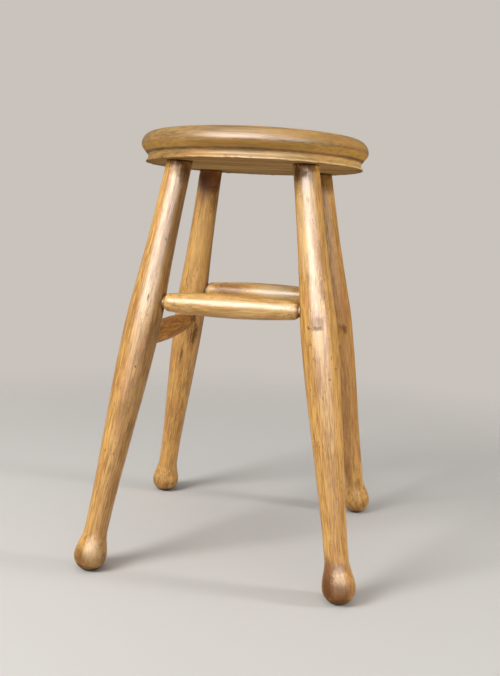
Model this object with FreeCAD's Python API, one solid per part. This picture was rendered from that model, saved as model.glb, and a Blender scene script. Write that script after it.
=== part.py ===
import FreeCAD, Part
import math
import os

# A round-topped turned stool: a moulded seat, four splayed legs with club feet and four stretchers.
# Millimetres, +Z up, the front towards -Y. The origin is on the floor under the middle of the seat.

# Seat: a flat board whose edge is turned to a round, a slope, a hollow and a thin lip
seat_height = 564.0
seat_diameter = 305.0
seat_thickness = 38.5
turn_under_radius = 8.0
slope_height = 11.5
slope_inset = 6.8
cove_height = 9.5
cove_depth = 2.6
lip_height = 2.0
lip_inset = 6.0
seat_cover = 11.0

# Legs: spacings are between neighbouring leg axes, under the seat and at the middle of the feet
leg_spacing_at_seat = 162.0
leg_spacing_at_feet = 320.0
shoulder_diameter = 33.0
swell_diameter = 46.0
swell_drop = 217.0
ankle_diameter = 30.0
ankle_rise = 34.0
foot_diameter = 42.0
sole_diameter = 18.0
seat_tenon_diameter = 24.0

# Stretchers: the front and rear pair lie a step above the left and right pair
side_stretcher_height = 297.0
stretcher_step = 49.0
stretcher_middle_diameter = 31.0
stretcher_end_diameter = 24.0
stretcher_end_length = 8.0
stretcher_bed = 2.0
stretcher_tenon_diameter = 16.0
stretcher_tenon_length = 18.0

# Fits: tenons are glued into blind sockets that are a little wider and deeper
tenon_clearance = 0.1
shoulder_clearance = 0.1
socket_end_gap = 1.0
tenon_chamfer = 1.0
cut_overrun = 10.0

# Handles of the leg's curves, as shares of the way along the leg and of the change in radius
thigh_handle_shares = ((0.70, 0.20), (0.80, 1.00))
shin_handle_shares = ((0.33, 0.00), (0.67, 1.00))
foot_handle_shares = ((0.33, 0.00), (0.67, 1.00))

# Seat heights and radii that follow from the sizes above
seat_radius = seat_diameter / 2
seat_underside = seat_height - seat_thickness
edge_round_radius = seat_thickness - slope_height - cove_height - lip_height

# Leg heights, lean and radii that follow from the sizes above
shoulder_radius = shoulder_diameter / 2
swell_radius = swell_diameter / 2
ankle_radius = ankle_diameter / 2
foot_radius = foot_diameter / 2
foot_centre_height = math.sqrt(foot_radius**2 - (sole_diameter / 2)**2)
leg_drop = seat_underside - foot_centre_height
leg_splay = (leg_spacing_at_feet - leg_spacing_at_seat) / 2
leg_length = math.sqrt(leg_drop**2 + 2 * leg_splay**2)
leg_lean = math.acos(leg_drop / leg_length)
shoulder_slant = shoulder_radius * math.tan(leg_lean)
seat_tenon_radius = seat_tenon_diameter / 2
seat_tenon_rise = (seat_thickness - seat_cover) / math.cos(leg_lean) - socket_end_gap

# Stretcher heights, ends and radii that follow from the sizes above
end_stretcher_height = side_stretcher_height + stretcher_step
stretcher_tenon_radius = stretcher_tenon_diameter / 2
stretcher_end_radius = stretcher_end_diameter / 2
end_taper = stretcher_end_radius - stretcher_tenon_radius
end_taper_radius = (stretcher_end_length**2 + end_taper**2) / (2 * end_taper)
end_taper_turn = math.asin(stretcher_end_length / end_taper_radius)
stretcher_angle = math.acos(leg_splay / leg_length)
stretcher_set = (
    swell_radius / math.sin(stretcher_angle)
    + stretcher_tenon_radius / math.tan(stretcher_angle)
    - stretcher_bed
)

# Which side of the middle each leg stands on, in X and in Y
leg_sides = {
    "leg_front_left": (-1, -1),
    "leg_front_right": (1, -1),
    "leg_rear_left": (-1, 1),
    "leg_rear_right": (1, 1),
}
up = FreeCAD.Vector(0, 0, 1)


def at(radius, height):
    """A point of a half outline, out from the turning axis and up along it."""
    return FreeCAD.Vector(radius, 0, height)


def flipped(point):
    """The same point on the other half of a piece that is alike at both ends."""
    return at(point.x, -point.z)


def line(start, end):
    return Part.LineSegment(start, end).toShape()


def arc(start, middle, end):
    return Part.Arc(start, middle, end).toShape()


def around(centre, radius, turn):
    """The point of a circle at an angle above straight out from the turning axis."""
    return centre + at(radius * math.cos(turn), radius * math.sin(turn))


def bow(centre, radius, first, last):
    """The stretch of a circle between two such angles."""
    middle = (first + last) / 2
    return arc(*[around(centre, radius, turn) for turn in (first, middle, last)])


def turned_curve(start, end, handle_shares):
    """A smooth curve whose two handles lie at shares of the way down and of the change in radius."""
    step = end - start
    handles = [start + at(step.x * out, step.z * down) for down, out in handle_shares]
    curve = Part.BezierCurve()
    curve.setPoles([start] + handles + [end])
    return curve.toShape()


def turned(edges):
    """The solid that a half outline sweeps in one turn about its axis."""
    first = edges[0].Vertexes[0].Point
    last = edges[-1].Vertexes[-1].Point
    outline = Part.Wire(edges + [line(last, first)])
    return Part.Face(outline).revolve(at(0, 0), up, 360)


def polyline(points):
    return [line(start, end) for start, end in zip(points, points[1:])]


def half_spacing(height):
    """Half the distance between two neighbouring leg axes at a height above the floor."""
    return leg_spacing_at_seat / 2 + leg_splay * (seat_underside - height) / leg_drop


def leg_axis(sides):
    """Where a leg's axis meets the underside of the seat, and its direction up the leg."""
    x_side, y_side = sides
    half = leg_spacing_at_seat / 2
    top = FreeCAD.Vector(x_side * half, y_side * half, seat_underside)
    direction = FreeCAD.Vector(-x_side * leg_splay, -y_side * leg_splay, leg_drop)
    return top, direction.normalize()


def socket(radius, start, direction, depth):
    return Part.makeCylinder(radius + tenon_clearance, depth + socket_end_gap, start, direction)


def seat_edge():
    """The moulded edge, from the rim of the flat top down to the underside."""
    widest_height = seat_height - edge_round_radius
    crease = at(seat_radius - slope_inset, widest_height - slope_height)
    lip_top = at(seat_radius - lip_inset, seat_underside + lip_height)
    lip_foot = at(seat_radius - lip_inset, seat_underside)
    hollow = (crease + lip_top) / 2 - at(cove_depth, 0)
    round_centre = at(seat_radius - edge_round_radius, widest_height)
    turn_centre = at(seat_radius - turn_under_radius, widest_height)
    reach = crease - turn_centre
    slope_turn = math.atan2(reach.z, reach.x) + math.acos(turn_under_radius / reach.Length)
    slope_top = around(turn_centre, turn_under_radius, slope_turn)
    return [
        bow(round_centre, edge_round_radius, math.pi / 2, 0),
        bow(turn_centre, turn_under_radius, 0, slope_turn),
        line(slope_top, crease),
        arc(crease, hollow, lip_top),
        line(lip_top, lip_foot),
    ]


def make_seat():
    """The seat, with a blind socket for each leg's tenon."""
    edge = seat_edge()
    top = line(at(0, seat_height), edge[0].Vertexes[0].Point)
    underside = line(edge[-1].Vertexes[-1].Point, at(0, seat_underside))
    seat = turned([top] + edge + [underside])
    for sides in leg_sides.values():
        centre, direction = leg_axis(sides)
        start = centre - direction * cut_overrun
        seat = seat.cut(socket(seat_tenon_radius, start, direction, cut_overrun + seat_tenon_rise))
    return seat


def leg_body():
    """A leg turned about +Z, its axis crossing the underside of the seat at the origin."""
    top = at(shoulder_radius, shoulder_slant + cut_overrun)
    thigh_top = at(shoulder_radius, -shoulder_slant)
    swell = at(swell_radius, -swell_drop)
    ankle = at(ankle_radius, ankle_rise - leg_length)
    foot_centre = at(0, -leg_length)
    foot = foot_centre + at(foot_radius, 0)
    return turned([
        line(at(0, top.z), top),
        line(top, thigh_top),
        turned_curve(thigh_top, swell, thigh_handle_shares),
        turned_curve(swell, ankle, shin_handle_shares),
        turned_curve(ankle, foot, foot_handle_shares),
        bow(foot_centre, foot_radius, 0, -math.pi / 2),
    ])


def leg_tenon():
    """The tenon at a leg's top, rooted inside its body."""
    root = -shoulder_slant - cut_overrun
    return turned(polyline([
        at(0, seat_tenon_rise),
        at(seat_tenon_radius - tenon_chamfer, seat_tenon_rise),
        at(seat_tenon_radius, seat_tenon_rise - tenon_chamfer),
        at(seat_tenon_radius, root),
        at(0, root),
    ]))


def taper(root_height, clearance):
    """The rounded end of a stretcher's body, from its side in to the root of its tenon."""
    side = stretcher_end_radius + clearance
    return bow(at(side - end_taper_radius, root_height - stretcher_end_length), end_taper_radius, 0, end_taper_turn)


def stretcher_bore():
    """What a stretcher's end takes from a leg: a cutter along +Z, its origin at the tenon's root."""
    bed = taper(0, tenon_clearance)
    side = bed.Vertexes[0].Point
    mouth = side - at(0, cut_overrun)
    bottom = at(stretcher_tenon_radius + tenon_clearance, stretcher_tenon_length + socket_end_gap)
    return turned(
        polyline([at(0, mouth.z), mouth, side])
        + [bed]
        + polyline([bed.Vertexes[1].Point, bottom, at(0, bottom.z)])
    )


def stretcher_sockets(sides):
    """The two sockets of a leg: one along X for the front or rear stretcher, one along Y."""
    x_side, y_side = sides
    sockets = []
    for height, outward in (
        (end_stretcher_height, FreeCAD.Vector(x_side, 0, 0)),
        (side_stretcher_height, FreeCAD.Vector(0, y_side, 0)),
    ):
        half = half_spacing(height)
        root = FreeCAD.Vector(x_side * half, y_side * half, height) - outward * stretcher_set
        bore = stretcher_bore()
        bore.Placement = FreeCAD.Placement(root + outward * shoulder_clearance, FreeCAD.Rotation(up, outward))
        sockets.append(bore)
    return sockets


def block(middle, side, bottom):
    """A cube that stands over a point, on a height."""
    return Part.makeBox(side, side, side, FreeCAD.Vector(middle.x - side / 2, middle.y - side / 2, bottom))


def make_leg(sides):
    """A leg leaning on its axis, cut level under the seat and on the floor, and bored for two stretchers."""
    top, direction = leg_axis(sides)
    placement = FreeCAD.Placement(top, FreeCAD.Rotation(up, direction))
    leg = leg_body()
    tenon = leg_tenon()
    leg.Placement = placement
    tenon.Placement = placement
    top_side = shoulder_diameter + 2 * cut_overrun
    foot_side = foot_diameter + 2 * cut_overrun
    leg = leg.cut(block(top, top_side, seat_underside - shoulder_clearance))
    leg = leg.cut(block(top - direction * leg_length, foot_side, -foot_side))
    leg = leg.fuse(tenon)
    for bore in stretcher_sockets(sides):
        leg = leg.cut(bore)
    return leg


def make_stretcher(height, along, across):
    """A level stretcher: its axis runs along one direction and is set out across from the middle."""
    half = half_spacing(height)
    end = half - stretcher_set
    tip = end + stretcher_tenon_length
    end_round = taper(end, 0)
    body_end = at(stretcher_end_radius, end - stretcher_end_length)
    round_middle = end_round.valueAt((end_round.FirstParameter + end_round.LastParameter) / 2)
    tenon = [
        at(stretcher_tenon_radius, end),
        at(stretcher_tenon_radius, tip - tenon_chamfer),
        at(stretcher_tenon_radius - tenon_chamfer, tip),
        at(0, tip),
    ]
    stretcher = turned(
        polyline([flipped(point) for point in reversed(tenon)])
        + [
            arc(flipped(tenon[0]), flipped(round_middle), flipped(body_end)),
            arc(flipped(body_end), at(stretcher_middle_diameter / 2, 0), body_end),
            end_round,
        ]
        + polyline(tenon)
    )
    middle = across * half + up * height
    stretcher.Placement = FreeCAD.Placement(middle, FreeCAD.Rotation(up, along))
    return stretcher


def make_nodes():
    x_way = FreeCAD.Vector(1, 0, 0)
    y_way = FreeCAD.Vector(0, 1, 0)
    nodes = {"seat": make_seat()}
    for name, sides in leg_sides.items():
        nodes[name] = make_leg(sides)
    nodes["stretcher_front"] = make_stretcher(end_stretcher_height, x_way, -y_way)
    nodes["stretcher_rear"] = make_stretcher(end_stretcher_height, x_way, y_way)
    nodes["stretcher_left"] = make_stretcher(side_stretcher_height, y_way, -x_way)
    nodes["stretcher_right"] = make_stretcher(side_stretcher_height, y_way, x_way)
    return nodes


os.makedirs("parts", exist_ok=True)
for name, shape in make_nodes().items():
    shape.exportStep(f"parts/{name}.step")
    print(name, "valid:", shape.isValid(), "solids:", len(shape.Solids), "mm3:", round(shape.Volume))
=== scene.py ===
"""Dresses a turned stool: a moulded round seat, four splayed legs with club feet and four stretchers.

Everything is in metres, with +Z up and the front towards -Y.
"""

import math

import bpy
from mathutils import Matrix, Vector


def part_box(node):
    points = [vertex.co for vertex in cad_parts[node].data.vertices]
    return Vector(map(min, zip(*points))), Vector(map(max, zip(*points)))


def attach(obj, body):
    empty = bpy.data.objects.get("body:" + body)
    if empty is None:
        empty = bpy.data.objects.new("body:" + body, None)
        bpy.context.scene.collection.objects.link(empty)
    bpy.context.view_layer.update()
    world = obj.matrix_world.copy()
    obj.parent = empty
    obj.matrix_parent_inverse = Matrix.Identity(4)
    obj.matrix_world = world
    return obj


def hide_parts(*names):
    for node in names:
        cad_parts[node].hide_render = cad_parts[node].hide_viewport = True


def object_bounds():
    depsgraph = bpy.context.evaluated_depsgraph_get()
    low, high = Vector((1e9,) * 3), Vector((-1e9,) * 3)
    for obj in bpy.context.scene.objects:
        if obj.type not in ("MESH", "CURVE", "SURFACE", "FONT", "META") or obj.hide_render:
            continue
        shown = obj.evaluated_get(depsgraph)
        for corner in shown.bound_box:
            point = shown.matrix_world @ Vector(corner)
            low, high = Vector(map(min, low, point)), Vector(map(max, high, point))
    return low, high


bl_info = {
    "name": "Turned Stool",
    "version": (1, 0, 0),
    "blender": (4, 5, 0),
    "location": "3D View > Sidebar > Stool",
    "description": "Makes a turned stool of varnished wood, worn as an old one is",
    "category": "Object",
}

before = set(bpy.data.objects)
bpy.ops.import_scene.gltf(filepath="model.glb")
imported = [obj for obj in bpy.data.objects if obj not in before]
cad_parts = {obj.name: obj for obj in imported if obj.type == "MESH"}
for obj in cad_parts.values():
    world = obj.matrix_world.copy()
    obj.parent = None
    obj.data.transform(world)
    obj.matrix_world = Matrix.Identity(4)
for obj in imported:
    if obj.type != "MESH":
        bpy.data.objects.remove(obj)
cad_low, cad_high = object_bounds()
seat_low, seat_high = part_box("seat")

up = Vector((0, 0, 1))
leg_sides = {
    "leg_front_left": (-1, -1),
    "leg_front_right": (1, -1),
    "leg_rear_left": (-1, 1),
    "leg_rear_right": (1, 1),
}

# Turns the upright axis to the one from left to right, which the seat's grain follows
board_turn = Matrix.Rotation(math.pi / 2, 4, "Y")


# Properties: sizes, colours and finish that a user would change
def length(name, description, default):
    return bpy.props.FloatProperty(
        name=name,
        description=description,
        default=default,
        subtype="DISTANCE",
        unit="LENGTH",
        precision=4,
    )


def amount(name, description, default, **limits):
    return bpy.props.FloatProperty(name=name, description=description, default=default, **limits)


def angle(name, description, default):
    return bpy.props.FloatProperty(
        name=name,
        description=description,
        default=math.radians(default),
        subtype="ANGLE",
        unit="ROTATION",
    )


def colour(name, description, default):
    return bpy.props.FloatVectorProperty(
        name=name, description=description, default=default, subtype="COLOR", size=3, min=0, max=1
    )


class SeatSettings(bpy.types.PropertyGroup):
    turn_under: length("Turn under", "Radius of the turn below the widest line", 0.008)
    slope_height: length("Slope height", "Height of the slope under the round", 0.0115)
    slope_inset: length("Slope inset", "How far the slope draws in", 0.0068)
    cove_height: length("Hollow height", "Height of the hollow under the slope", 0.0095)
    cove_depth: length("Hollow depth", "How deep the hollow is cut", 0.0026)
    lip_height: length("Lip height", "Height of the thin lip at the bottom", 0.002)
    lip_inset: length("Lip inset", "How far the lip stands in from the widest line", 0.006)
    cover: length("Cover", "Wood left over each leg's socket", 0.011)
    chip_depth: length("Chip depth", "How deep the lip is chipped at most", 0.0007)


class LegSettings(bpy.types.PropertyGroup):
    spacing_at_seat: length("Spacing at seat", "Between neighbouring leg axes, under the seat", 0.162)
    spacing_at_feet: length("Spacing at feet", "Between neighbouring feet", 0.320)
    shoulder_diameter: length("Shoulder", "Diameter just under the seat", 0.033)
    swell_diameter: length("Swell", "Diameter at the thickest place", 0.046)
    swell_drop: length("Swell drop", "Along the leg from the seat to the thickest place", 0.217)
    ankle_diameter: length("Ankle", "Diameter at the thinnest place", 0.030)
    ankle_rise: length("Ankle rise", "Along the leg from the middle of the foot to the ankle", 0.034)
    foot_diameter: length("Foot", "Diameter of the club foot", 0.042)
    sole_diameter: length("Sole", "Width of the flat that the foot has worn to", 0.018)
    tenon_diameter: length("Tenon", "Diameter of the tenon in the seat", 0.024)


class StretcherSettings(bpy.types.PropertyGroup):
    side_height: length("Side height", "Height of the left and right stretchers", 0.297)
    step: length("Step", "How much higher the front and rear stretchers are", 0.049)
    middle_diameter: length("Middle", "Diameter at the middle", 0.031)
    end_diameter: length("End", "Diameter at the ends", 0.024)
    end_length: length("End length", "Length of the rounding at each end", 0.008)
    bed: length("Bed", "How far the rounded end sinks into the leg", 0.002)
    tenon_diameter: length("Tenon", "Diameter of the tenon in the leg", 0.016)
    tenon_length: length("Tenon length", "How far the tenon goes into the leg", 0.018)


class WoodSettings(bpy.types.PropertyGroup):
    pale: colour("Pale wood", "Colour of the pale wood under its varnish", (0.70, 0.385, 0.086))
    deep: colour("Deep wood", "Colour of the darker streaks of the grain", (0.34, 0.145, 0.020))
    warm: colour("Warm patches", "Colour of the wood's warmer patches", (0.62, 0.27, 0.065))
    light: colour("Stretchers, pale", "Pale wood of the front and rear stretchers", (0.78, 0.47, 0.145))
    honey: colour("Stretchers, deep", "Darker lines of the front and rear stretchers", (0.45, 0.22, 0.042))
    # Painted shade: the left and right stretchers take this darker wood, the stain colour and less shine,
    # as a shaded copy of the front and rear ones; the seat's top takes it as its own colour
    side: colour("Side stretchers", "Pale wood of the left and right stretchers", (0.42, 0.20, 0.038))
    seat_pale: colour("Seat, pale", "Colour of the seat's pale wood", (0.35, 0.203, 0.048))
    seat_deep: colour("Seat, deep", "Colour of the seat's darker lines", (0.195, 0.094, 0.015))
    bare: colour("Underside", "Colour of the seat's dull underside", (0.70, 0.48, 0.200))
    fleck: colour("Fleck", "Colour of the fine dashes and pores", (0.14, 0.045, 0.008))
    # This dark colour is real dirt at joints and feet, and also painted shade in the seat's crease, behind
    # its lip and at the legs' tops
    grime_and_shade: colour("Grime", "Colour of the dirt in the joints and on the feet", (0.06, 0.022, 0.005))
    # Real reddish stains, and also painted shade: the rear stretcher's shadow patch and the side
    # stretchers' darker lines
    stain_and_shade: colour("Stain", "Colour of the reddish stains", (0.19, 0.062, 0.013))
    scuff: colour("Scuff", "Colour where the varnish has rubbed thin", (0.36, 0.24, 0.13))
    # Real wear on the seat's lip, and a painted highlight in the marks that take it on the legs and
    # stretchers
    wear_and_highlight: colour("Worn edge", "Colour where an edge has rubbed pale", (0.78, 0.58, 0.32))
    roughness: amount("Roughness", "How dull the varnish is", 0.42, min=0, max=1)
    coat: amount("Coat", "How strongly the varnish shines", 0.90, min=0, max=1)
    side_shine: amount("Side shine", "Share of the shine left on the side stretchers", 0.2, min=0, max=1)
    wobble: length("Wobble", "How far hand turning leaves a piece off its true shape", 0.0004)


class StageSettings(bpy.types.PropertyGroup):
    floor: colour("Floor", "Colour of the floor", (0.59, 0.571, 0.546))
    backdrop: colour("Backdrop", "Colour behind the floor", (0.585, 0.545, 0.505))
    shade: colour("Shaded floor", "Colour that the floor throws back on the stool", (0.48, 0.44, 0.40))
    mirrored: amount("Mirrored", "Share of the floor and backdrop in reflections", 0.12, min=0, max=1)
    sky: amount("Sky", "Strength of the light from all round", 0.29, min=0)
    window: amount("Window", "Power of the broad lamp at the left, in watts", 50.0, min=0)
    front: amount("Front lamp", "Power of the lamp in front that makes the sheen, in watts", 40.0, min=0)
    second: amount("Second lamp", "Power of the sheen's lamp at the front right, in watts", 24.0, min=0)
    door: amount("Door", "Power of the tall narrow lamp at the right, in watts", 31.0, min=0)
    overhead: amount("Overhead", "Power of the broad lamp above, in watts", 8.0, min=0)
    camera_place: bpy.props.FloatVectorProperty(
        name="Camera",
        description="Where the camera stands",
        default=(0.2115, -1.0595, 0.4482),
        subtype="TRANSLATION",
    )
    camera_yaw: angle("Yaw", "How far the camera turns left from straight back", 11.03)
    camera_pitch: angle("Pitch", "How far the camera looks down", 8.24)
    camera_roll: angle("Roll", "How far the camera leans", 2.69)
    lens: amount("Lens", "Focal length on a 36 mm wide sensor, in millimetres", 41.49, min=1)


# Fits that the pieces share
tenon_clearance = 0.0001
shoulder_clearance = 0.0001
socket_end_gap = 0.001
tenon_chamfer = 0.001

# How far a cut runs past the wood, how wide a corner is eased, and how near the saw's plane counts as on it
cut_overrun = 0.010
arris = 0.0004
saw_tolerance = 1e-6

# The angle from which an edge is shaded sharp, and the z of its normal below which a face looks down
sharp_corner = math.radians(38)
facing_down = -0.9

# How far apart the points of each outline lie
flat_spacing = 0.006
neck_spacing = 0.004
bulge_spacing = 0.0025
leg_spacing = 0.002
foot_spacing = 0.0015
edge_spacing = 0.0012
hollow_spacing = 0.001
end_spacing = 0.0008

# How many flats go round each kind of piece
seat_flats = 540
leg_flats = 96
stretcher_flats = 72
tenon_flats = 64

# How far apart the humps of hand turning lie, and how the chips in the lip lie and stand out
seat_humps = 0.05
leg_humps = 0.03
stretcher_humps = 0.025
chip_humps = 0.009
chip_contrast = 2.6

# A mark up to this half width has a fully ragged edge
ragged_width = 0.006

# The floor, and how far out its fade into the backdrop starts and ends
floor_radius = 3
floor_flats = 96
fade_start = 0.40
fade_end = 1.4

# Shares of the way along a leg's curve and of its change in radius, for the two handles of each curve
thigh_handle_shares = ((0.70, 0.20), (0.80, 1.00))
shin_handle_shares = ((0.33, 0.00), (0.67, 1.00))
foot_handle_shares = ((0.33, 0.00), (0.67, 1.00))

# Marks on the turned pieces. Each has its place along the piece (on a leg down from the seat, on a
# stretcher from the middle to the right), how far round it lies in degrees (on a leg, -90 faces the front),
# half its width, half its length, its strength, and the colour in WoodSettings that it takes.
# Some marks below are painted highlights and a painted shadow, as noted at each
marks = {
    "leg_front_left": [
        (0.100, -74, 0.0090, 0.075, 0.30, "stain_and_shade"),
        (0.179, -75, 0.0011, 0.0052, 0.9, "grime_and_shade"),
        (0.268, -65, 0.0014, 0.0018, 0.8, "grime_and_shade"),
        (0.274, -117, 0.0013, 0.0015, 0.7, "grime_and_shade"),
        (0.103, -57, 0.0011, 0.0013, 0.8, "grime_and_shade"),
        (0.316, -67, 0.0040, 0.020, 0.35, "fleck"),
        (0.018, -38, 0.010, 0.014, 0.55, "grime_and_shade"),
        (0.225, -42, 0.005, 0.026, 0.35, "fleck"),
        # Painted highlight: a pale patch on the foot where the sheen falls
        (0.512, -66, 0.014, 0.015, 0.30, "wear_and_highlight"),
        (0.522, -128, 0.016, 0.020, 0.40, "grime_and_shade"),
        (0.534, -85, 0.020, 0.006, 0.40, "grime_and_shade"),
    ],
    "leg_front_right": [
        # Painted highlight: a pale band down the front left of the upper leg, where the sheen spreads
        (0.085, -122, 0.0085, 0.065, 0.35, "wear_and_highlight"),
        (0.012, -128, 0.008, 0.013, 0.7, "grime_and_shade"),
        (0.015, -95, 0.0042, 0.0062, 0.4, "scuff"),
        (0.048, -87, 0.0024, 0.0060, 0.4, "scuff"),
        (0.121, -54, 0.006, 0.030, 0.4, "fleck"),
        (0.158, -63, 0.004, 0.020, 0.4, "fleck"),
        (0.197, -85, 0.0080, 0.0070, 0.30, "scuff"),
        (0.198, -83, 0.0115, 0.0095, 0.42, "stain_and_shade"),
        (0.205, -88, 0.0090, 0.0032, 0.55, "grime_and_shade"),
        (0.203, -117, 0.0014, 0.0034, 0.8, "grime_and_shade"),
        (0.255, -34, 0.0014, 0.0018, 0.8, "grime_and_shade"),
        (0.267, -60, 0.0013, 0.0016, 0.8, "grime_and_shade"),
        (0.500, -135, 0.014, 0.024, 0.85, "stain_and_shade"),
        (0.522, -95, 0.024, 0.016, 0.85, "stain_and_shade"),
        (0.493, -70, 0.012, 0.007, 0.6, "stain_and_shade"),
        # Dulls the varnish on the foot where the highlight falls, and paints a paler patch there as a soft
        # painted highlight
        (0.512, -80, 0.014, 0.016, 0.30, "scuff"),
        (0.515, -132, 0.012, 0.020, 0.50, "grime_and_shade"),
        (0.534, -92, 0.020, 0.006, 0.45, "grime_and_shade"),
    ],
    "leg_rear_left": [
        (0.115, -62, 0.022, 0.075, 0.40, "light"),
        (0.014, -65, 0.026, 0.022, 0.95, "stain_and_shade"),
        (0.012, -65, 0.024, 0.020, 0.35, "grime_and_shade"),
        (0.040, -36, 0.007, 0.022, 0.5, "grime_and_shade"),
        (0.221, -58, 0.005, 0.009, 0.8, "grime_and_shade"),
        (0.250, -45, 0.007, 0.020, 0.75, "grime_and_shade"),
        (0.288, -87, 0.0024, 0.016, 0.7, "grime_and_shade"),
    ],
    "leg_rear_right": [
        (0.270, -62, 0.0340, 0.240, 0.38, "stain_and_shade"),
        (0.014, -45, 0.016, 0.018, 0.6, "grime_and_shade"),
        (0.228, -54, 0.004, 0.009, 0.7, "grime_and_shade"),
        (0.486, -61, 0.007, 0.011, 0.4, "grime_and_shade"),
    ],
    "stretcher_rear": [
        # Painted shadow: a dark patch left of the middle; painted highlights: two pale patches, right of
        # the middle and near the left end
        (-0.050, 250, 0.0120, 0.030, 0.60, "stain_and_shade"),
        (0.020, 250, 0.0140, 0.034, 0.80, "wear_and_highlight"),
        (-0.092, 250, 0.0140, 0.014, 0.80, "wear_and_highlight"),
    ],
    "stretcher_front": [
        # Painted highlight: a pale patch low on the right part of the front stretcher
        (0.075, 235, 0.0040, 0.020, 0.35, "wear_and_highlight"),
    ],
}


# Outlines: half sections as (radius, height) points about an upright axis
def point(radius, height):
    return Vector((radius, 0, height))


def polar(radius, turn):
    return point(radius * math.cos(turn), radius * math.sin(turn))


def straight(start, end, spacing):
    """Points from start up to but not including end."""
    count = max(1, round((end - start).length / spacing))
    return [start.lerp(end, i / count) for i in range(count)]


def bow(centre, radius, first, last, spacing):
    """Points of a round from one angle to another, in radians, leaving out the last."""
    count = max(2, round(abs(last - first) * radius / spacing))
    turns = [first + (last - first) * i / count for i in range(count)]
    return [centre + polar(radius, turn) for turn in turns]


def sweep(start, end, handle_shares, spacing):
    """Points of a turned curve from start to end, leaving out the end."""
    step = end - start
    first, second = [start + point(step.x * out, step.z * down) for down, out in handle_shares]
    count = max(2, round(step.length / spacing))
    points = []
    for i in range(count):
        gone = i / count
        left = 1 - gone
        near = start * left**3 + first * (3 * gone * left**2)
        points.append(near + second * (3 * gone * gone * left) + end * gone**3)
    return points


def radius_at(outline, height):
    """The radius of an outline at a height, from the bottom up."""
    for start, end in zip(outline, outline[1:]):
        if end.z <= height < start.z:
            return start.lerp(end, (start.z - height) / (start.z - end.z)).x
    raise ValueError("The outline has no such height")


def tenon_tip(radius, height):
    """Points of a tenon's end, with its small chamfer."""
    return [point(0, height), point(radius - tenon_chamfer, height), point(radius, height - tenon_chamfer)]


def eased(before, corner, after):
    """Three points that take the sharpness off a corner."""
    start = corner + (before - corner).normalized() * arris
    end = corner + (after - corner).normalized() * arris
    return [start, (start + corner * 2 + end) / 4, end]


# Modelling by operators
def select_only(*pieces):
    bpy.ops.object.select_all(action="DESELECT")
    for piece in pieces:
        piece.select_set(True)
    bpy.context.view_layer.objects.active = pieces[-1]


def turned(name, outline, flats):
    """A piece spun from a half outline that starts and ends on the axis."""
    bpy.ops.object.select_all(action="DESELECT")
    bpy.ops.mesh.primitive_plane_add(size=arris)
    piece = bpy.context.object
    piece.name = name
    piece.data.name = name
    bpy.ops.object.mode_set(mode="EDIT")
    bpy.ops.mesh.select_all(action="SELECT")
    bpy.ops.mesh.merge(type="CENTER")
    bpy.ops.transform.translate(value=outline[0])
    for start, end in zip(outline, outline[1:]):
        bpy.ops.mesh.extrude_region_move(TRANSFORM_OT_translate={"value": end - start})
    bpy.ops.mesh.select_all(action="SELECT")
    bpy.ops.mesh.spin(steps=flats, angle=math.tau, center=(0, 0, 0), axis=up)
    bpy.ops.mesh.select_all(action="SELECT")
    bpy.ops.mesh.remove_doubles(threshold=arris / 40)
    bpy.ops.mesh.normals_make_consistent(inside=False)
    bpy.ops.object.mode_set(mode="OBJECT")
    return piece


def placed(piece, placement):
    """Puts a piece in its place, and the place into its mesh."""
    piece.matrix_world = placement
    select_only(piece)
    bpy.ops.object.transform_apply(location=True, rotation=True, scale=True)
    return piece


def hand_made(piece, humps, depth, group="", contrast=1.0):
    """Takes a little off the surface, unevenly, as turning and use do."""
    texture = bpy.data.textures.new(piece.name + "_wobble", "CLOUDS")
    texture.noise_scale = humps
    texture.noise_depth = 2
    texture.contrast = contrast
    select_only(piece)
    bpy.ops.object.modifier_add(type="DISPLACE")
    wobble = piece.modifiers[-1]
    wobble.texture = texture
    wobble.texture_coords = "LOCAL"
    wobble.vertex_group = group
    wobble.mid_level = 1
    wobble.strength = depth
    bpy.ops.object.modifier_apply(modifier=wobble.name)


def combined(piece, other, operation):
    """Joins another closed mesh to a piece, or cuts it away."""
    select_only(piece)
    bpy.ops.object.modifier_add(type="BOOLEAN")
    step = piece.modifiers[-1]
    step.operation = operation
    step.solver = "EXACT"
    step.object = other
    bpy.ops.object.modifier_apply(modifier=step.name)
    bpy.data.objects.remove(other)


def bored(piece, start, direction, radius, depth):
    """Bores a blind round hole from a start point along a direction."""
    bpy.ops.object.select_all(action="DESELECT")
    bpy.ops.mesh.primitive_cylinder_add(vertices=tenon_flats, radius=radius, depth=depth)
    bit = bpy.context.object
    placed(bit, Matrix.Translation(start + direction * depth / 2) @ turn_to(direction))
    combined(piece, bit, "DIFFERENCE")


def sawn(piece, height, away):
    """Saws a piece level at a height and drops what lies away from it."""
    select_only(piece)
    bpy.ops.object.mode_set(mode="EDIT")
    bpy.ops.mesh.select_all(action="SELECT")
    plane = {"plane_co": (0, 0, height), "plane_no": away, "threshold": saw_tolerance}
    bpy.ops.mesh.bisect(**plane, use_fill=True, clear_outer=True)
    bpy.ops.object.mode_set(mode="OBJECT")


def smoothed(piece):
    select_only(piece)
    bpy.ops.object.shade_smooth_by_angle(angle=sharp_corner)


def turn_to(direction):
    """The turn that takes the upright axis to a direction."""
    return up.rotation_difference(direction).to_matrix().to_4x4()


def handed_over(piece, node, slot, *materials):
    """Gives a finished piece its materials and lets it stand for its CAD node."""
    piece.data.materials.clear()
    for material in materials:
        piece.data.materials.append(material)
    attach(piece, "root")
    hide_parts(node)


# Places of the legs and stretchers
def leg_drop(legs):
    foot_radius = legs.foot_diameter / 2
    return seat_low.z - math.sqrt(foot_radius**2 - (legs.sole_diameter / 2) ** 2)


def leg_splay(legs):
    return (legs.spacing_at_feet - legs.spacing_at_seat) / 2


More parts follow.
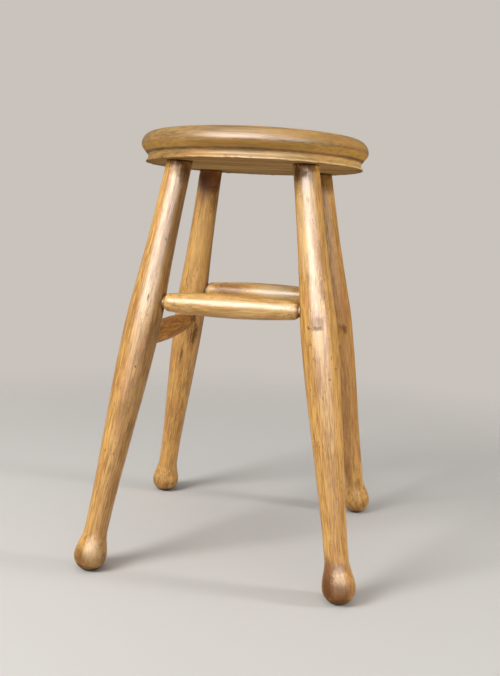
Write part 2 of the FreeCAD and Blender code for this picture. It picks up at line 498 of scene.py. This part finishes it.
def leg_length(legs):
    return math.sqrt(leg_drop(legs) ** 2 + 2 * leg_splay(legs) ** 2)


def half_spacing(legs, height):
    """Half the distance between two neighbouring leg axes at a height."""
    return legs.spacing_at_seat / 2 + leg_splay(legs) * (seat_low.z - height) / leg_drop(legs)


def out_at(legs, way, height):
    """The place of a leg's axis at a height, or with a 0 in way, the place midway between two legs."""
    half = half_spacing(legs, height)
    return Vector((way[0] * half, way[1] * half, height))


def leg_placement(legs, sides):
    """Takes a leg turned about the upright axis, its top at the origin, to its place under the seat."""
    splay = leg_splay(legs)
    direction = Vector((-sides[0] * splay, -sides[1] * splay, leg_drop(legs))).normalized()
    return Matrix.Translation(out_at(legs, sides, seat_low.z)) @ turn_to(direction)


def seat_tenon_rise(seat, legs):
    lean = math.acos(leg_drop(legs) / leg_length(legs))
    return (seat_high.z - seat_low.z - seat.cover) / math.cos(lean) - socket_end_gap


def stretcher_set(legs, stretchers):
    """From a leg's axis along a stretcher to the root of the stretcher's tenon."""
    lean = math.acos(leg_splay(legs) / leg_length(legs))
    return (
        legs.swell_diameter / 2 / math.sin(lean)
        + stretchers.tenon_diameter / 2 / math.tan(lean)
        - stretchers.bed
    )


def stretcher_ways(sides, stretchers):
    """The height of each of a leg's two stretchers, and the way along it to the leg."""
    return (
        (stretchers.side_height + stretchers.step, Vector((sides[0], 0, 0))),
        (stretchers.side_height, Vector((0, sides[1], 0))),
    )


def taper(stretchers, root_height, clearance):
    """Points of a stretcher's rounded end, from its side in to the root of its tenon."""
    drop = (stretchers.end_diameter - stretchers.tenon_diameter) / 2
    radius = (stretchers.end_length**2 + drop**2) / (2 * drop)
    centre = point(stretchers.end_diameter / 2 + clearance - radius, root_height - stretchers.end_length)
    root = point(stretchers.tenon_diameter / 2 + clearance, root_height)
    return bow(centre, radius, 0, math.asin(stretchers.end_length / radius), end_spacing) + [root]


# Seat
def seat_outline(seat):
    radius = (seat_high.x - seat_low.x) / 2
    round_radius = seat_high.z - seat_low.z - seat.slope_height - seat.cove_height - seat.lip_height
    widest = seat_high.z - round_radius
    crease = point(radius - seat.slope_inset, widest - seat.slope_height)
    lip_top = point(radius - seat.lip_inset, seat_low.z + seat.lip_height)
    lip_foot = point(lip_top.x, seat_low.z)
    turn_centre = point(radius - seat.turn_under, widest)
    reach = crease - turn_centre
    slope_turn = math.atan2(reach.z, reach.x) + math.acos(seat.turn_under / reach.length)
    slope_top = turn_centre + polar(seat.turn_under, slope_turn)
    chord = lip_top - crease
    cove_radius = (chord.length**2 / 4 + seat.cove_depth**2) / (2 * seat.cove_depth)
    outward = point(-chord.z, chord.x).normalized()
    cove_centre = (crease + lip_top) / 2 + outward * (cove_radius - seat.cove_depth)
    start, end = crease - cove_centre, lip_top - cove_centre
    first, last = math.atan2(start.z, start.x), math.tau + math.atan2(end.z, end.x)
    cove = bow(cove_centre, cove_radius, first, last, hollow_spacing)
    middle = point(0, seat_low.z)
    return (
        straight(point(0, seat_high.z), point(radius - round_radius, seat_high.z), flat_spacing)
        + bow(point(radius - round_radius, widest), round_radius, math.pi / 2, 0, edge_spacing)
        + bow(turn_centre, seat.turn_under, 0, slope_turn, edge_spacing)
        + straight(slope_top, crease, edge_spacing)
        + cove
        + eased(cove[-1], lip_top, lip_foot)
        + eased(lip_top, lip_foot, middle)
        + straight(lip_foot - point(2 * arris, 0), middle, flat_spacing)
        + [middle]
    )


def chipped_lip(piece, seat):
    """Knocks chips out of the lip."""
    inside = (seat_high.x - seat_low.x) / 2 - seat.lip_inset - 3 * arris
    above = seat_low.z + seat.lip_height + arris / 2
    lip = piece.vertex_groups.new(name="lip")
    for vertex in piece.data.vertices:
        if math.hypot(vertex.co.x, vertex.co.y) > inside and vertex.co.z < above:
            lip.add([vertex.index], 1, "REPLACE")
    hand_made(piece, chip_humps, seat.chip_depth, lip.name, chip_contrast)


def make_seat(seat, legs, wood):
    piece = turned("seat_board", seat_outline(seat), seat_flats)
    hand_made(piece, seat_humps, wood.wobble)
    chipped_lip(piece, seat)
    radius = legs.tenon_diameter / 2 + tenon_clearance
    depth = cut_overrun + seat_tenon_rise(seat, legs) + socket_end_gap
    for sides in leg_sides.values():
        placement = leg_placement(legs, sides)
        direction = placement.to_3x3() @ up
        bored(piece, placement.translation - direction * cut_overrun, direction, radius, depth)
    smoothed(piece)
    return piece


# Legs
def shoulder_slant(legs):
    """How far along a leg its level top end reaches to either side of its axis."""
    return legs.shoulder_diameter / 2 * math.tan(math.acos(leg_drop(legs) / leg_length(legs)))


def leg_outline(legs):
    total = leg_length(legs)
    slant = shoulder_slant(legs)
    foot_radius = legs.foot_diameter / 2
    top = point(legs.shoulder_diameter / 2, slant + cut_overrun)
    thigh_top = point(top.x, -slant)
    swell = point(legs.swell_diameter / 2, -legs.swell_drop)
    ankle = point(legs.ankle_diameter / 2, legs.ankle_rise - total)
    foot = point(foot_radius, -total)
    return (
        [point(0, top.z)]
        + straight(top, thigh_top, neck_spacing)
        + sweep(thigh_top, swell, thigh_handle_shares, leg_spacing)
        + sweep(swell, ankle, shin_handle_shares, leg_spacing)
        + sweep(ankle, foot, foot_handle_shares, foot_spacing)
        + bow(point(0, -total), foot_radius, 0, -math.pi / 2, foot_spacing)
        + [point(0, -total - foot_radius)]
    )


def leg_tenon_outline(seat, legs):
    rise = seat_tenon_rise(seat, legs)
    radius = legs.tenon_diameter / 2
    root = -shoulder_slant(legs) - cut_overrun
    side = straight(point(radius, rise - 2 * tenon_chamfer), point(radius, root), neck_spacing)
    return tenon_tip(radius, rise) + side + [point(radius, root), point(0, root)]


def bore_outline(stretchers):
    """What a stretcher's end takes from a leg, with its origin at the tenon's root."""
    side = stretchers.end_diameter / 2 + tenon_clearance
    mouth = -stretchers.end_length - cut_overrun
    bottom = stretchers.tenon_length + socket_end_gap
    return (
        [point(0, mouth), point(side, mouth)]
        + taper(stretchers, 0, tenon_clearance)
        + [point(stretchers.tenon_diameter / 2 + tenon_clearance, bottom), point(0, bottom)]
    )


def make_leg(name, sides, seat, legs, stretchers, wood):
    placement = leg_placement(legs, sides)
    piece = placed(turned(name.replace("leg", "turned_leg"), leg_outline(legs), leg_flats), placement)
    hand_made(piece, leg_humps, wood.wobble)
    sawn(piece, seat_low.z - shoulder_clearance, up)
    sawn(piece, 0, -up)
    tenon = turned("leg_tenon", leg_tenon_outline(seat, legs), tenon_flats)
    combined(piece, placed(tenon, placement), "UNION")
    for height, outward in stretcher_ways(sides, stretchers):
        root = out_at(legs, sides, height) - outward * stretcher_set(legs, stretchers)
        bore = turned("bore", bore_outline(stretchers), tenon_flats)
        placed(bore, Matrix.Translation(root + outward * shoulder_clearance) @ turn_to(outward))
        combined(piece, bore, "DIFFERENCE")
    smoothed(piece)
    return piece


# Stretchers
def stretcher_outline(height, legs, stretchers):
    end = half_spacing(legs, height) - stretcher_set(legs, stretchers)
    tip = end + stretchers.tenon_length
    body_end = end - stretchers.end_length
    bulge = (stretchers.middle_diameter - stretchers.end_diameter) / 2
    bulge_radius = (body_end**2 + bulge**2) / (2 * bulge)
    bulge_turn = math.asin(body_end / bulge_radius)
    middle = point(stretchers.middle_diameter / 2, 0)
    end_round = taper(stretchers, end, 0)
    half = (
        tenon_tip(stretchers.tenon_diameter / 2, tip)
        + list(reversed(end_round[1:]))
        + bow(middle - point(bulge_radius, 0), bulge_radius, bulge_turn, 0, bulge_spacing)
    )
    return half + [middle] + [point(p.x, -p.z) for p in reversed(half)]


def stretcher_placement(across, height, legs):
    along = Vector((abs(across[1]), abs(across[0]), 0))
    return Matrix.Translation(out_at(legs, across, height)) @ turn_to(along)


def make_stretcher(name, across, height, legs, stretchers, wood):
    outline = stretcher_outline(height, legs, stretchers)
    piece = turned(name.replace("stretcher", "turned_stretcher"), outline, stretcher_flats)
    placed(piece, stretcher_placement(across, height, legs))
    hand_made(piece, stretcher_humps, wood.wobble)
    smoothed(piece)
    return piece


# Shader nodes
class Value:
    """A node's output that takes part in sums: each sum adds its Math node."""

    def __init__(self, shader, socket):
        self.shader = shader
        self.socket = socket

    def __add__(self, other):
        return self.shader.math("ADD", self, other)

    def __sub__(self, other):
        return self.shader.math("SUBTRACT", self, other)

    def __rsub__(self, other):
        return self.shader.math("SUBTRACT", other, self)

    def __mul__(self, other):
        return self.shader.math("MULTIPLY", self, other)

    __radd__ = __add__
    __rmul__ = __mul__


class Shader:
    """The nodes of a material or a world."""

    def __init__(self, owner):
        owner.use_nodes = True
        self.owner = owner
        self.tree = owner.node_tree
        self.surface = self.tree.nodes.get("Principled BSDF")

    def feed(self, socket, value):
        if isinstance(value, Value):
            self.tree.links.new(value.socket, socket)
        elif socket.type == "RGBA" and len(value) == 3:
            socket.default_value = (*value, 1)
        else:
            socket.default_value = value

    def node(self, kind, settings, inputs, output=0):
        """Any node: its settings first, then the values or links of its sockets."""
        made = self.tree.nodes.new("ShaderNode" + kind)
        for name, value in settings.items():
            setattr(made, name, value)
        for name, value in inputs.items():
            self.feed(made.inputs[name], value)
        return Value(self, made.outputs[output])

    def math(self, operation, *values):
        return self.node("Math", {"operation": operation}, dict(enumerate(values)))

    def clamp(self, value):
        return self.node("Clamp", {}, {"Value": value})

    def rise(self, value, low, high):
        """0 below low and 1 above high, with a smooth rise between; high may lie below low."""
        settings = {"interpolation_type": "SMOOTHSTEP"}
        return self.node("MapRange", settings, {"Value": value, "From Min": low, "From Max": high})

    def close(self, offset, low, high):
        """1 where an offset is less than low and 0 where it is over high, either way."""
        return 1 - self.rise(self.math("ABSOLUTE", offset), low, high)

    def mix(self, share, first, second):
        """A colour between two: the Mix node's inputs 6 and 7 and its output 2 are its colours."""
        return self.node("Mix", {"data_type": "RGBA"}, {0: share, 6: first, 7: second}, 2)

    def stretch(self, place, x, y, z):
        return self.node("VectorMath", {"operation": "MULTIPLY"}, {0: place, 1: (x, y, z)})

    def shift(self, place, x, y, z):
        return self.node("VectorMath", {"operation": "ADD"}, {0: place, 1: (x, y, z)})

    def noise(self, place, scale, detail=2.0, roughness=0.5):
        inputs = {"Vector": place, "Scale": scale, "Detail": detail, "Roughness": roughness}
        return self.node("TexNoise", {}, inputs)

    def grain(self, place, scale, along, detail=2.0, roughness=0.5):
        """Noise drawn out along z, where it changes only a share as fast as across."""
        return self.noise(self.stretch(place, 1, 1, along), scale, detail, roughness)

    def parts(self, place):
        """The x, y and z of a place."""
        outputs = self.node("SeparateXYZ", {}, {0: place}).socket.node.outputs
        return [Value(self, output) for output in outputs]

    def distance(self, place, centre):
        return self.node("VectorMath", {"operation": "DISTANCE"}, {0: place, 1: centre}, "Value")

    def own_place(self):
        """Object coordinates, which are the stool's own, as each piece's object stands at the origin."""
        return self.node("TexCoord", {}, {}, "Object")

    def across(self, place):
        """How far a place is from the upright axis through the origin."""
        x, y, _ = self.parts(place)
        return self.math("SQRT", x * x + y * y)

    def patch(self, place, centre, half_width, half_length, ragged):
        """1 in the middle of an oval patch and 0 outside it, with a ragged edge."""
        offset = self.shift(place, *[-value for value in centre])
        shrunk = self.stretch(offset, 1 / half_width, 1 / half_width, 1 / half_length)
        reach = self.node("VectorMath", {"operation": "LENGTH"}, {0: shrunk}, "Value")
        return 1 - self.rise(reach + ragged, 0.45, 1.15)

    def place_in(self, placement):
        """The place on a piece before its placement, where the axis that it was turned about is z."""
        inputs = {
            "Vector": self.own_place(),
            "Location": placement.translation,
            "Rotation": placement.to_euler(),
        }
        return self.node("Mapping", {"vector_type": "TEXTURE"}, inputs)

    def shown(self, mirrored):
        """1 where the camera looks, and the mirrored share where shiny wood or glass does."""
        rays = ("Is Camera Ray", "Is Glossy Ray", "Is Transmission Ray")
        camera, glossy, through = [self.node("LightPath", {}, {}, ray) for ray in rays]
        return self.clamp(camera + (glossy + through) * mirrored)

    def bump(self, height, strength, distance):
        inputs = {"Strength": strength, "Distance": distance, "Height": height}
        return self.node("Bump", {}, inputs)


# Finishes
def varnished_wood(shader, place, seed, pale, deep, wood):
    """Wood whose grain runs along z of the place: its colour, streaks, flecks and mottling."""
    spot = shader.shift(place, seed * 0.37, seed * 0.23, seed * 0.71)
    streak = shader.grain(spot, 420, 0.07, 3, 0.55)
    figure = shader.grain(spot, 130, 0.13, 3, 0.55)
    mottle = shader.grain(spot, 48, 0.45, 3, 0.6)
    fibre = shader.grain(spot, 900, 0.045)
    tone = streak * 0.45 + figure * 0.4 + mottle * 0.3 + fibre * 0.7
    body = shader.mix(shader.rise(tone, 0.76, 1.08), deep, pale)
    lines = shader.grain(shader.shift(spot, 6, 3, 1), 520, 0.035, 1)
    body = shader.mix(shader.rise(lines, 0.56, 0.66) * 0.5, body, deep)
    tint = shader.grain(shader.shift(spot, 4, 8, 3), 85, 0.3, 3, 0.6)
    body = shader.mix(shader.rise(tint, 0.48, 0.66) * 0.4, body, wood.warm)
    cluster = shader.noise(shader.shift(spot, 3, 1, 2), 38)
    dash = shader.grain(spot, 850, 0.22, 1, 0.4)
    pore = shader.grain(shader.shift(spot, 5, 2, 9), 430, 0.45, 0)
    dashes = shader.rise(dash + cluster * 0.5, 0.92, 1.04) * 0.5
    pores = shader.rise(pore + cluster * 0.3, 0.945, 0.99) * 0.75
    flecks = shader.clamp(dashes + pores)
    return shader.mix(flecks, body, wood.fleck), streak, flecks, mottle


def seat_board(shader):
    """The place on the seat with z along its grain, which is drawn out further for the wide board."""
    return shader.stretch(shader.place_in(board_turn), 1, 1, 0.35)


def varnish(shader, body, streak, flecks, mottle, dirt_and_shade, wood, shine=1.0, blur=0.36, index=1.7):
    """A satin varnish, thin along some streaks and dull where it is dirty and where shade is painted."""
    surface = shader.surface
    roughness = shader.clamp(wood.roughness + (mottle - 0.5) * 0.3 + flecks * 0.15 + dirt_and_shade * 0.3)
    coat = shader.clamp(wood.coat + (streak - 0.5) * 0.9 + (mottle - 0.5) * 0.6 - dirt_and_shade)
    shader.feed(surface.inputs["Base Color"], body)
    shader.feed(surface.inputs["Roughness"], roughness)
    shader.feed(surface.inputs["Coat Weight"], coat * shine)
    surface.inputs["Coat Roughness"].default_value = blur
    surface.inputs["Coat IOR"].default_value = index
    surface.inputs["Specular IOR Level"].default_value = 0.25 * shine
    shader.feed(surface.inputs["Normal"], shader.bump(streak - flecks * 0.5, 0.18, 0.0007))


def seat_wood(seat, wood):
    shader = Shader(bpy.data.materials.new("seat_varnished_wood"))
    rim = shader.stretch(shader.place_in(board_turn), 1, 0.22, 0.35)
    body, streak, flecks, mottle = varnished_wood(shader, rim, 1.0, wood.seat_pale, wood.seat_deep, wood)
    flat = varnished_wood(shader, seat_board(shader), 2.0, wood.side, wood.seat_deep, wood)[0]
    here = shader.own_place()
    x, _, z = shader.parts(here)
    on_top = shader.rise(z, seat_high.z - 0.0010, seat_high.z - 0.0001)
    body = shader.mix(on_top, body, flat)
    radius = shader.across(here)
    blotch = shader.noise(here, 110, 3, 0.65)
    seat_radius = (seat_high.x - seat_low.x) / 2
    lip_top = seat_low.z + seat.lip_height
    crease = lip_top + seat.cove_height
    widest = crease + seat.slope_height
    from_middle = shader.math("ABSOLUTE", x)
    end_grain = shader.rise(from_middle, 0.105, 0.150) * shader.rise(radius, 0.135, 0.145)
    toward_right = shader.rise(x, -0.08, 0.06)
    # End grain is darker; the extra darkening of the left end, where the lamp lights it, is painted shade
    body = shader.mix(end_grain * (0.9 - toward_right * 0.42), body, wood.seat_deep)
    # Painted light: the right part of the round is lightened with the pale wood, and its varnish dulled a
    # little
    painted_light_on_round = shader.rise(x, -0.02, 0.08) * shader.rise(z, widest, widest + 0.004) * (1 - on_top)
    body = shader.mix(painted_light_on_round * 0.22, body, wood.pale)
    outer = shader.rise(radius, seat_radius - 0.016, seat_radius - 0.011)
    below = 1 - shader.rise(z, widest - 0.0035, widest - 0.001)
    slope = outer * below * shader.rise(z, crease + 0.0005, crease + 0.003)
    # Painted light: the slope faces down, and the pale wood lightens it in place of the light it misses
    body = shader.mix(slope * 0.35, body, wood.pale)
    body = shader.mix(slope * shader.rise(streak, 0.45, 0.62) * 0.45, body, wood.seat_deep)
    hollow = outer * (1 - shader.rise(z, crease - 0.003, crease - 0.001))
    # Painted light: the hollow is lightened with the pale stretcher wood, more towards the right and along
    # some streaks
    painted_light_in_hollow = shader.clamp(toward_right * 0.45 + (streak - 0.5) * 0.7)
    body = shader.mix(hollow * painted_light_in_hollow, body, wood.light)
    # Painted shade, partly real dirt: grime darkens the crease and a line under the round
    in_crease = shader.close(z - crease, 0.0003, 0.0024) * (0.2 + blotch * 0.6)
    under_round = shader.close(z - widest + 0.0015, 0.0002, 0.0012) * shader.rise(blotch, 0.40, 0.70)
    dirt_and_shade = outer * shader.clamp(in_crease + under_round * 0.3)
    body = shader.mix(dirt_and_shade, body, wood.grime_and_shade)
    worn_lip = shader.close(z - lip_top, 0.0003, 0.0012) * outer
    worn_lip = worn_lip * shader.rise(shader.noise(here, 90, 3, 0.7), 0.40, 0.54)
    worn_lip = worn_lip * shader.rise(x, -0.12, 0.02)
    body = shader.mix(worn_lip * 0.7, body, wood.wear_and_highlight)
    dull = dirt_and_shade + slope * 0.8 + hollow * 0.3 + on_top * 1.3 + painted_light_on_round * 0.22
    streak = (streak - 0.5) * 0.7 + 0.5
    varnish(shader, body, streak, flecks, mottle, dull, wood, shine=0.66, blur=0.45, index=2.0)
    return shader.owner


def bare_wood(seat, wood):
    """The underside: dull and brown, with painted shade darkening it behind the lip."""
    shader = Shader(bpy.data.materials.new("seat_dull_underside"))
    board = seat_board(shader)
    body, streak, _, mottle = varnished_wood(shader, board, 1.0, wood.bare, wood.seat_deep, wood)
    lip_radius = (seat_high.x - seat_low.x) / 2 - seat.lip_inset
    rim = shader.rise(shader.across(shader.own_place()), lip_radius - 0.030, lip_radius)
    # Painted shade: grime darkens the underside towards the lip, which shades it
    body = shader.mix(rim * (0.05 + mottle * 0.4), body, wood.grime_and_shade)
    surface = shader.surface
    shader.feed(surface.inputs["Base Color"], body)
    shader.feed(surface.inputs["Roughness"], shader.clamp(0.6 + mottle * 0.25))
    surface.inputs["Specular IOR Level"].default_value = 0.12
    shader.feed(surface.inputs["Normal"], shader.bump(streak, 0.5, 0.0006))
    return shader.owner


def marked(shader, name, place, way, outline, body, dirt_and_shade, wood):
    """Adds a turned piece's own marks, whose places run up its outline, or down it where way is -1."""
    ragged = (shader.noise(shader.stretch(place, 1, 1, 0.6), 420, 3, 0.7) - 0.5) * 2.4
    for along, turn, half_width, half_length, strength, kind in marks.get(name, ()):
        height = way * along
        middle = Matrix.Rotation(math.radians(turn), 3, "Z") @ point(radius_at(outline, height), height)
        edge = ragged * min(1, ragged_width / half_width)
        share = shader.patch(place, middle, half_width, half_length, edge) * strength
        body = shader.mix(share, body, getattr(wood, kind))
        dirt_and_shade = dirt_and_shade + share * (0.3 if kind in ("stain_and_shade", "light", "wear_and_highlight") else 1)
    return body, dirt_and_shade


def leg_wood(name, seed, sides, legs, stretchers, wood):
    shader = Shader(bpy.data.materials.new(name + "_varnished_wood"))
    place = shader.place_in(leg_placement(legs, sides))
    body, streak, flecks, mottle = varnished_wood(shader, place, seed, wood.pale, wood.deep, wood)
    here = shader.own_place()
    height = shader.parts(here)[2]
    along = shader.parts(place)[2]
    blotch = shader.noise(shader.shift(place, seed, 2, 1), 70, 3, 0.65)
    total = leg_length(legs)
    under_seat = shader.rise(height, seat_low.z - 0.0030, seat_low.z - 0.0008) * 0.6
    # Painted shade, partly real dirt: blotches of grime darken each leg's top under the seat, where the
    # seat shades it
    top = shader.rise(height, seat_low.z - 0.024, seat_low.z - 0.003)
    near_seat_grime_and_shade = top * shader.rise(blotch, 0.34, 0.62) * 0.7
    foot = shader.rise(along, legs.ankle_rise * 0.3 - total, -total)
    on_foot = foot * (0.12 + shader.rise(blotch, 0.30, 0.65) * 0.3)
    at_sole = (1 - shader.rise(height, 0.0008, 0.010)) * 0.7
    dirt_and_shade = under_seat + near_seat_grime_and_shade + on_foot + at_sole
    for level, outward in stretcher_ways(sides, stretchers):
        mouth = out_at(legs, sides, level) - outward * legs.swell_diameter / 2
        from_mouth = shader.distance(here, mouth) + (blotch - 0.5) * 0.012
        dirt_and_shade = dirt_and_shade + (1 - shader.rise(from_mouth, stretchers.tenon_diameter / 2, 0.016)) * 0.6
    body = shader.mix(shader.clamp(dirt_and_shade), body, wood.grime_and_shade)
    body, dirt_and_shade = marked(shader, name, place, -1, leg_outline(legs), body, dirt_and_shade, wood)
    # The varnish is dulled near the seat as well, in place of the seat's shade on the sheen
    dirt_and_shade = shader.clamp(dirt_and_shade + top * 0.35)
    varnish(shader, body, streak, flecks, mottle, dirt_and_shade, wood)
    return shader.owner


def stretcher_wood(name, seed, height, placement, legs, stretchers, pale, deep, shine, wood):
    shader = Shader(bpy.data.materials.new(name + "_varnished_wood"))
    place = shader.place_in(placement)
    half_length = half_spacing(legs, height) - stretcher_set(legs, stretchers)
    body, streak, flecks, mottle = varnished_wood(shader, place, seed, pale, deep, wood)
    along = shader.math("ABSOLUTE", shader.parts(place)[2])
    blotch = shader.noise(shader.shift(place, seed, 2, 1), 130, 3, 0.65)
    near_end = shader.rise(along, half_length - 0.045, half_length - 0.006)
    near_end = near_end * shader.rise(blotch, 0.49, 0.67)
    in_joint = shader.rise(along, half_length - 0.0035, half_length - 0.001)
    dirt_and_shade = shader.clamp(near_end * 0.5 + in_joint * 0.35)
    body = shader.mix(dirt_and_shade, body, wood.grime_and_shade)
    outline = stretcher_outline(height, legs, stretchers)
    body, dirt_and_shade = marked(shader, name, place, 1, outline, body, dirt_and_shade, wood)
    varnish(shader, body, streak, flecks, mottle, dirt_and_shade, wood, shine)
    return shader.owner


# Stage
def lamp(name, power, azimuth, elevation, distance, width, height, tint=(1, 1, 1)):
    """A soft lamp that faces the stool, its direction in degrees: azimuth 0 is the front, 90 the right."""
    data = bpy.data.lights.new(name, "AREA")
    data.shape = "RECTANGLE"
    data.size = width
    data.size_y = height
    data.energy = power
    data.color = tint
    piece = bpy.data.objects.new(name, data)
    bpy.context.scene.collection.objects.link(piece)
    turn = math.radians(azimuth)
    rise = math.radians(elevation)
    back = Vector((math.sin(turn) * math.cos(rise), -math.cos(turn) * math.cos(rise), math.sin(rise)))
    middle = Vector((0, 0, (cad_low.z + cad_high.z) / 2))
    piece.location = middle + back * distance
    piece.rotation_euler = back.to_track_quat("Z", "Y").to_euler()
    return piece


def make_floor(stage):
    bpy.ops.object.select_all(action="DESELECT")
    bpy.ops.mesh.primitive_circle_add(vertices=floor_flats, radius=floor_radius, fill_type="NGON")
    floor = bpy.context.object
    floor.name = "floor"
    shader = Shader(bpy.data.materials.new("pale_floor"))
    colour = shader.mix(shader.shown(stage.mirrored), stage.shade, stage.floor)
    shader.feed(shader.surface.inputs["Base Color"], colour)
    shader.surface.inputs["Roughness"].default_value = 0.7
    shader.surface.inputs["Specular IOR Level"].default_value = 0.1
    fade = shader.rise(shader.across(shader.own_place()), fade_start, fade_end)
    shader.feed(shader.surface.inputs["Alpha"], 1 - fade)
    floor.data.materials.append(shader.owner)


def make_world(stage):
    """A soft light from all round, strongest from the front left and above, behind a plain backdrop."""
    world = bpy.data.worlds.new("studio")
    bpy.context.scene.world = world
    shader = Shader(world)
    way = shader.node("TexCoord", {}, {}, "Generated")
    toward = Vector((-0.35, -0.75, 0.55)).normalized()
    facing = shader.node("VectorMath", {"operation": "DOT_PRODUCT"}, {0: way, 1: toward}, "Value")
    strength = (facing * 0.78 + 1) * stage.sky
    around = shader.node("Background", {}, {"Color": (1, 0.98, 0.95), "Strength": strength})
    seen = shader.node("Background", {}, {"Color": stage.backdrop, "Strength": 1.0})
    shown = shader.node("MixShader", {}, {0: shader.shown(stage.mirrored), 1: around, 2: seen})
    shader.feed(shader.tree.nodes["World Output"].inputs["Surface"], shown)


def make_lamps(stage):
    """A window, a doorway and a light above, and two lamps that only make the sheen."""
    broad = {"distance": 2.4, "width": 0.9, "height": 0.9}
    lamp("window_lamp", stage.window, azimuth=-42, elevation=32, **broad).visible_glossy = False
    wide = {"distance": 1.5, "width": 1.25, "height": 0.9, "tint": (0.90, 0.95, 1.0)}
    lamp("front_lamp", stage.front, azimuth=-6, elevation=28, **wide).visible_diffuse = False
    low = {"distance": 2.2, "width": 1.2, "height": 0.7, "tint": (0.92, 0.96, 1.0)}
    lamp("second_lamp", stage.second, azimuth=42, elevation=19, **low).visible_diffuse = False
    narrow = {"distance": 2.0, "width": 0.25, "height": 1.3}
    lamp("door_lamp", stage.door, azimuth=90, elevation=4, **narrow).visible_glossy = False
    square = {"distance": 2.0, "width": 1.6, "height": 1.6}
    lamp("overhead_lamp", stage.overhead, azimuth=0, elevation=78, **square)


def make_camera(stage):
    data = bpy.data.cameras.new("camera")
    data.sensor_width = 36
    data.lens = stage.lens
    camera = bpy.data.objects.new("camera", data)
    bpy.context.scene.collection.objects.link(camera)
    aim = (
        Matrix.Rotation(stage.camera_yaw, 4, "Z")
        @ Matrix.Rotation(math.pi / 2 - stage.camera_pitch, 4, "X")
        @ Matrix.Rotation(stage.camera_roll, 4, "Z")
    )
    camera.matrix_world = Matrix.Translation(Vector(stage.camera_place)) @ aim
    bpy.context.scene.camera = camera


# Operators
class STOOL_OT_seat(bpy.types.Operator):
    """Make the seat, with its moulded edge and its four sockets"""

    bl_idname = "stool.seat"
    bl_label = "Make Seat"

    def execute(self, context):
        scene = context.scene
        seat, wood = scene.stool_seat, scene.stool_wood
        piece = make_seat(seat, scene.stool_legs, wood)
        handed_over(piece, "seat", "seat_wood", seat_wood(seat, wood), bare_wood(seat, wood))
        for face in piece.data.polygons:
            underneath = face.center.z < seat_low.z + seat.lip_height
            face.material_index = int(underneath and face.normal.z < facing_down)
        return {"FINISHED"}


class STOOL_OT_legs(bpy.types.Operator):
    """Make the four turned legs"""

    bl_idname = "stool.legs"
    bl_label = "Make Legs"

    def execute(self, context):
        scene = context.scene
        legs, stretchers, wood = scene.stool_legs, scene.stool_stretchers, scene.stool_wood
        for seed, (name, sides) in enumerate(leg_sides.items(), 2):
            piece = make_leg(name, sides, scene.stool_seat, legs, stretchers, wood)
            material = leg_wood(name, seed, sides, legs, stretchers, wood)
            handed_over(piece, name, "leg_wood", material)
        return {"FINISHED"}


class STOOL_OT_stretchers(bpy.types.Operator):
    """Make the four turned stretchers"""

    bl_idname = "stool.stretchers"
    bl_label = "Make Stretchers"

    def execute(self, context):
        scene = context.scene
        legs, stretchers, wood = scene.stool_legs, scene.stool_stretchers, scene.stool_wood
        ways = {"front": (0, -1), "rear": (0, 1), "left": (-1, 0), "right": (1, 0)}
        for seed, (way, across) in enumerate(ways.items(), 7):
            name = "stretcher_" + way
            height = stretchers.side_height + (stretchers.step if across[1] else 0)
            piece = make_stretcher(name, across, height, legs, stretchers, wood)
            placement = stretcher_placement(across, height, legs)
            # Painted shade: the left and right stretchers get darker colours and less shine than the front
            # and rear ones
            looks = (wood.light, wood.honey, 1) if across[1] else (wood.side, wood.stain_and_shade, wood.side_shine)
            material = stretcher_wood(name, seed, height, placement, legs, stretchers, *looks, wood)
            handed_over(piece, name, "stretcher_wood", material)
        return {"FINISHED"}


class STOOL_OT_stage(bpy.types.Operator):
    """Make the floor, the lamps, the world and the camera"""

    bl_idname = "stool.stage"
    bl_label = "Make Stage"

    def execute(self, context):
        stage = context.scene.stool_stage
        make_floor(stage)
        make_world(stage)
        make_camera(stage)
        make_lamps(stage)
        context.scene.view_settings.view_transform = "Standard"
        return {"FINISHED"}


class VIEW3D_PT_stool(bpy.types.Panel):
    """The stool's settings, with a button for each step"""

    bl_label = "Turned Stool"
    bl_space_type = "VIEW_3D"
    bl_region_type = "UI"
    bl_category = "Stool"

    def draw(self, context):
        for name, operator in steps.items():
            box = self.layout.box()
            settings = getattr(context.scene, name, None)
            for key in settings.__annotations__ if settings else ():
                box.prop(settings, key)
            if operator:
                box.operator(operator.bl_idname)


groups = {
    "stool_seat": SeatSettings,
    "stool_legs": LegSettings,
    "stool_stretchers": StretcherSettings,
    "stool_wood": WoodSettings,
    "stool_stage": StageSettings,
}
steps = {
    "stool_seat": STOOL_OT_seat,
    "stool_legs": STOOL_OT_legs,
    "stool_stretchers": STOOL_OT_stretchers,
    "stool_wood": None,
    "stool_stage": STOOL_OT_stage,
}
operators = [operator for operator in steps.values() if operator]
classes = [*groups.values(), *operators, VIEW3D_PT_stool]


def register():
    for made in classes:
        bpy.utils.register_class(made)
    for name, group in groups.items():
        setattr(bpy.types.Scene, name, bpy.props.PointerProperty(type=group))


def unregister():
    for name in groups:
        delattr(bpy.types.Scene, name)
    for made in reversed(classes):
        bpy.utils.unregister_class(made)


def main():
    register()
    bpy.ops.stool.seat()
    bpy.ops.stool.legs()
    bpy.ops.stool.stretchers()
    bpy.ops.stool.stage()


if __name__ == "__main__":
    main()
